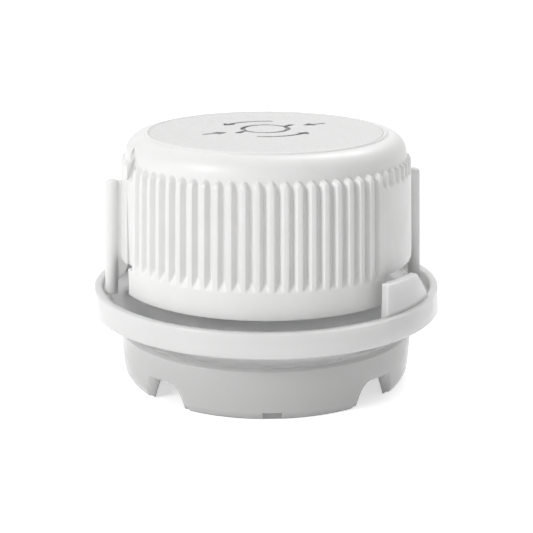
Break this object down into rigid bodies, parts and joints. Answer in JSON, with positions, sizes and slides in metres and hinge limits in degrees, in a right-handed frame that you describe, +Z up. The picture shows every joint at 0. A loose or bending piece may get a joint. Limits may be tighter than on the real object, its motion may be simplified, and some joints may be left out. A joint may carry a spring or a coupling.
{
  "type": "child-resistant cap",
  "caption": "White ribbed squeeze-and-turn bottle cap over a translucent collar; side wings catch on lock walls of the flange until the smooth sides are squeezed.",
  "frame": {"origin": "centre of the collar's foot, on the surface that the closure stands on", "axes": "+Z up along the axis that the cap turns about, -Y towards the collar's front slot, the side the picture shows"},
  "size_m": [0.0604, 0.0604, 0.0428],
  "materials": {
    "collar": "translucent natural moulding, smooth",
    "cap": "opaque white moulding, satin",
    "liner": "soft white foam sheet"
  },
  "bodies": {
    "collar": {"collar": "collar"},
    "liner": {"liner": "liner"},
    "cap": {"cap": "cap"}
  },
  "joints": [
    {"name": "cap_lift", "type": "slide", "parent": "collar", "child": "liner", "axis": [0, 0, 1], "range_m": [0, 0.03]},
    {"name": "cap_turn", "type": "hinge", "parent": "liner", "child": "cap", "pos_m": [0, 0, 0], "axis": [0, 0, 1], "range_deg": [-24.5, 118]}
  ]
}
